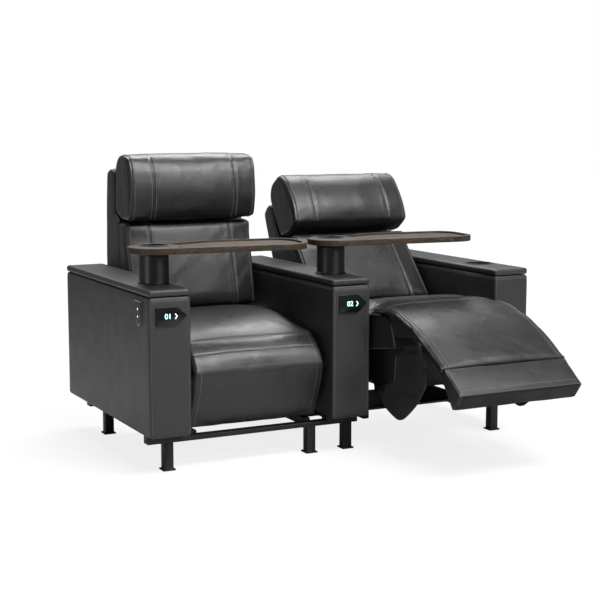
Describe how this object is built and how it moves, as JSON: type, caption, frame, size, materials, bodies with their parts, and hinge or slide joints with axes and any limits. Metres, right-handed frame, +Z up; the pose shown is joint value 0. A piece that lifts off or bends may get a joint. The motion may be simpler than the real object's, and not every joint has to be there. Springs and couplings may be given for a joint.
{
  "type": "cinema recliner seat",
  "caption": "Power recliner seating for a cinema, with padded arms, swivel trays with cup wells, sliding and reclining seats and folding leg rests.",
  "frame": {"origin": "centre of the overall bounding box on the floor, with the first seat upright and the second one reclined", "axes": "+X across the seats, from the upright seat to the reclined one, +Y to the back, +Z up"},
  "size_m": [1.5604, 1.478, 1.0851],
  "materials": {
    "leather": "satin upholstery leather",
    "panel_leather": "satin upholstery leather",
    "black_metal": "satin black paint",
    "black_plastic": "fine satin",
    "walnut": "dark walnut, satin lacquer",
    "dark_board": "black cloth covered plywood",
    "sign_glass": "gloss",
    "steel": "brushed"
  },
  "bodies": {
    "base": {"arm_body_left": "panel_leather", "arm_cap_left": "panel_leather", "arm_body_centre": "panel_leather", "arm_cap_centre": "panel_leather", "arm_body_right": "panel_leather", "arm_cap_right": "panel_leather", "cup_liner": "black_plastic", "front_cross_rail": "black_metal", "rear_cross_rail": "black_metal", "front_leg_1": "black_metal", "front_leg_2": "black_metal", "front_leg_3": "black_metal", "front_leg_4": "black_metal", "rear_leg_1": "black_metal", "rear_leg_2": "black_metal", "slide_track_1_left": "steel", "slide_track_1_right": "steel", "slide_track_2_left": "steel", "slide_track_2_right": "steel", "seat_sign_1": "sign_glass", "seat_sign_2": "sign_glass", "aisle_sign": "sign_glass", "tray_post_1": "black_plastic", "actuator_housing_1": "black_metal", "tray_post_2": "black_plastic", "actuator_housing_2": "black_metal"},
    "carriage_1": {"carriage_1": "black_metal", "actuator_rod_1": "steel"},
    "seat_1": {"seat_box_1": "dark_board", "apron_1": "dark_board", "seat_cushion_1": "leather"},
    "back_1": {"back_shell_1": "leather", "back_cushion_1": "leather"},
    "head_1": {"head_bracket_1": "black_metal", "head_cushion_1": "leather"},
    "leg_rest_1": {"calf_board_1": "dark_board", "calf_pad_1": "leather"},
    "flap_1": {"foot_flap_1": "leather"},
    "guards_1": {"guard_left_1": "black_plastic", "guard_right_1": "black_plastic"},
    "tray_1": {"tray_hub_1": "black_plastic", "tray_top_1": "walnut"},
    "rocker_1": {"rocker_1": "black_plastic"},
    "carriage_2": {"carriage_2": "black_metal", "actuator_rod_2": "steel"},
    "seat_2": {"seat_box_2": "dark_board", "apron_2": "dark_board", "seat_cushion_2": "leather"},
    "back_2": {"back_shell_2": "leather", "back_cushion_2": "leather"},
    "head_2": {"head_bracket_2": "black_metal", "head_cushion_2": "leather"},
    "leg_rest_2": {"calf_board_2": "dark_board", "calf_pad_2": "leather"},
    "flap_2": {"foot_flap_2": "leather"},
    "guards_2": {"guard_left_2": "black_plastic", "guard_right_2": "black_plastic"},
    "tray_2": {"tray_hub_2": "black_plastic", "tray_top_2": "walnut"},
    "rocker_2": {"rocker_2": "black_plastic"}
  },
  "joints": [
    {"name": "seat_slide_1", "type": "slide", "parent": "base", "child": "carriage_1", "axis": [0, -1, 0], "range_m": [0, 0.235]},
    {"name": "seat_tilt_1", "type": "hinge", "parent": "carriage_1", "child": "seat_1", "pos_m": [-0.3414, 0.43253, 0.29], "axis": [-1, 0, 0], "range_deg": [0, 9]},
    {"name": "back_recline_1", "type": "hinge", "parent": "seat_1", "child": "back_1", "pos_m": [-0.3414, 0.46853, 0.428], "axis": [-1, 0, 0], "range_deg": [0, 20]},
    {"name": "head_tilt_1", "type": "hinge", "parent": "back_1", "child": "head_1", "pos_m": [-0.3414, 0.60303, 0.872], "axis": [-1, 0, 0], "range_deg": [0, 6]},
    {"name": "leg_rest_swing_1", "type": "hinge", "parent": "seat_1", "child": "leg_rest_1", "pos_m": [-0.3414, -0.17597, 0.419], "axis": [-1, 0, 0], "range_deg": [0, 72]},
    {"name": "flap_fold_1", "type": "hinge", "parent": "leg_rest_1", "child": "flap_1", "pos_m": [-0.3414, -0.05215, 0.15271], "axis": [-1, 0, 0], "range_deg": [0, 162]},
    {"name": "guard_swing_1", "type": "hinge", "parent": "leg_rest_1", "child": "guards_1", "pos_m": [-0.3414, -0.06947, 0.246], "axis": [-1, 0, 0], "range_deg": [-30, 0]},
    {"name": "tray_swivel_1", "type": "hinge", "parent": "base", "child": "tray_1", "pos_m": [-0.6724, 0.00853, 0.75], "axis": [0, 0, 1], "range_deg": [-84.4, 5.6]},
    {"name": "rocker_press_1", "type": "hinge", "parent": "base", "child": "rocker_1", "pos_m": [-0.6209, 0.14253, 0.56], "axis": [0, 0, 1], "range_deg": [-8, 8], "stiffness_Nm_per_rad": 0.5},
    {"name": "seat_slide_2", "type": "slide", "parent": "base", "child": "carriage_2", "axis": [0, -1, 0], "range_m": [-0.235, 0]},
    {"name": "seat_tilt_2", "type": "hinge", "parent": "carriage_2", "child": "seat_2", "pos_m": [0.3586, 0.19753, 0.29], "axis": [-1, 0, 0], "range_deg": [-9, 0]},
    {"name": "back_recline_2", "type": "hinge", "parent": "seat_2", "child": "back_2", "pos_m": [0.3586, 0.25467, 0.42067], "axis": [-1, 0, 0], "range_deg": [-20, 0]},
    {"name": "head_tilt_2", "type": "hinge", "parent": "back_2", "child": "head_2", "pos_m": [0.3586, 0.58756, 0.74379], "axis": [-1, 0, 0], "range_deg": [-6, 0]},
    {"name": "leg_rest_swing_2", "type": "hinge", "parent": "seat_2", "child": "leg_rest_2", "pos_m": [0.3586, -0.3833, 0.5126], "axis": [-1, 0, 0], "range_deg": [-72, 0]},
    {"name": "flap_fold_2", "type": "hinge", "parent": "leg_rest_2", "child": "flap_2", "pos_m": [0.3586, -0.62694, 0.34864], "axis": [-1, 0, 0], "range_deg": [-162, 0]},
    {"name": "guard_swing_2", "type": "hinge", "parent": "leg_rest_2", "child": "guards_2", "pos_m": [0.3586, -0.53751, 0.38035], "axis": [-1, 0, 0], "range_deg": [0, 30]},
    {"name": "tray_swivel_2", "type": "hinge", "parent": "base", "child": "tray_2", "pos_m": [0.0276, 0.00853, 0.75], "axis": [0, 0, 1], "range_deg": [-84.4, 5.6]},
    {"name": "rocker_press_2", "type": "hinge", "parent": "base", "child": "rocker_2", "pos_m": [0.0791, 0.14253, 0.56], "axis": [0, 0, 1], "range_deg": [-8, 8], "stiffness_Nm_per_rad": 0.5}
  ],
  "couplings": [
    {"joint": "seat_tilt_1", "follows": "seat_slide_1", "rad_per_m": 0.66842},
    {"joint": "back_recline_1", "follows": "seat_slide_1", "rad_per_m": 1.4854},
    {"joint": "head_tilt_1", "follows": "seat_slide_1", "rad_per_m": 0.44561},
    {"joint": "leg_rest_swing_1", "follows": "seat_slide_1", "rad_per_m": 5.3474},
    {"joint": "flap_fold_1", "follows": "seat_slide_1", "rad_per_m": 12.032},
    {"joint": "guard_swing_1", "follows": "seat_slide_1", "rad_per_m": -2.2281},
    {"joint": "seat_tilt_2", "follows": "seat_slide_2", "rad_per_m": 0.66842},
    {"joint": "back_recline_2", "follows": "seat_slide_2", "rad_per_m": 1.4854},
    {"joint": "head_tilt_2", "follows": "seat_slide_2", "rad_per_m": 0.44561},
    {"joint": "leg_rest_swing_2", "follows": "seat_slide_2", "rad_per_m": 5.3474},
    {"joint": "flap_fold_2", "follows": "seat_slide_2", "rad_per_m": 12.032},
    {"joint": "guard_swing_2", "follows": "seat_slide_2", "rad_per_m": -2.2281}
  ]
}
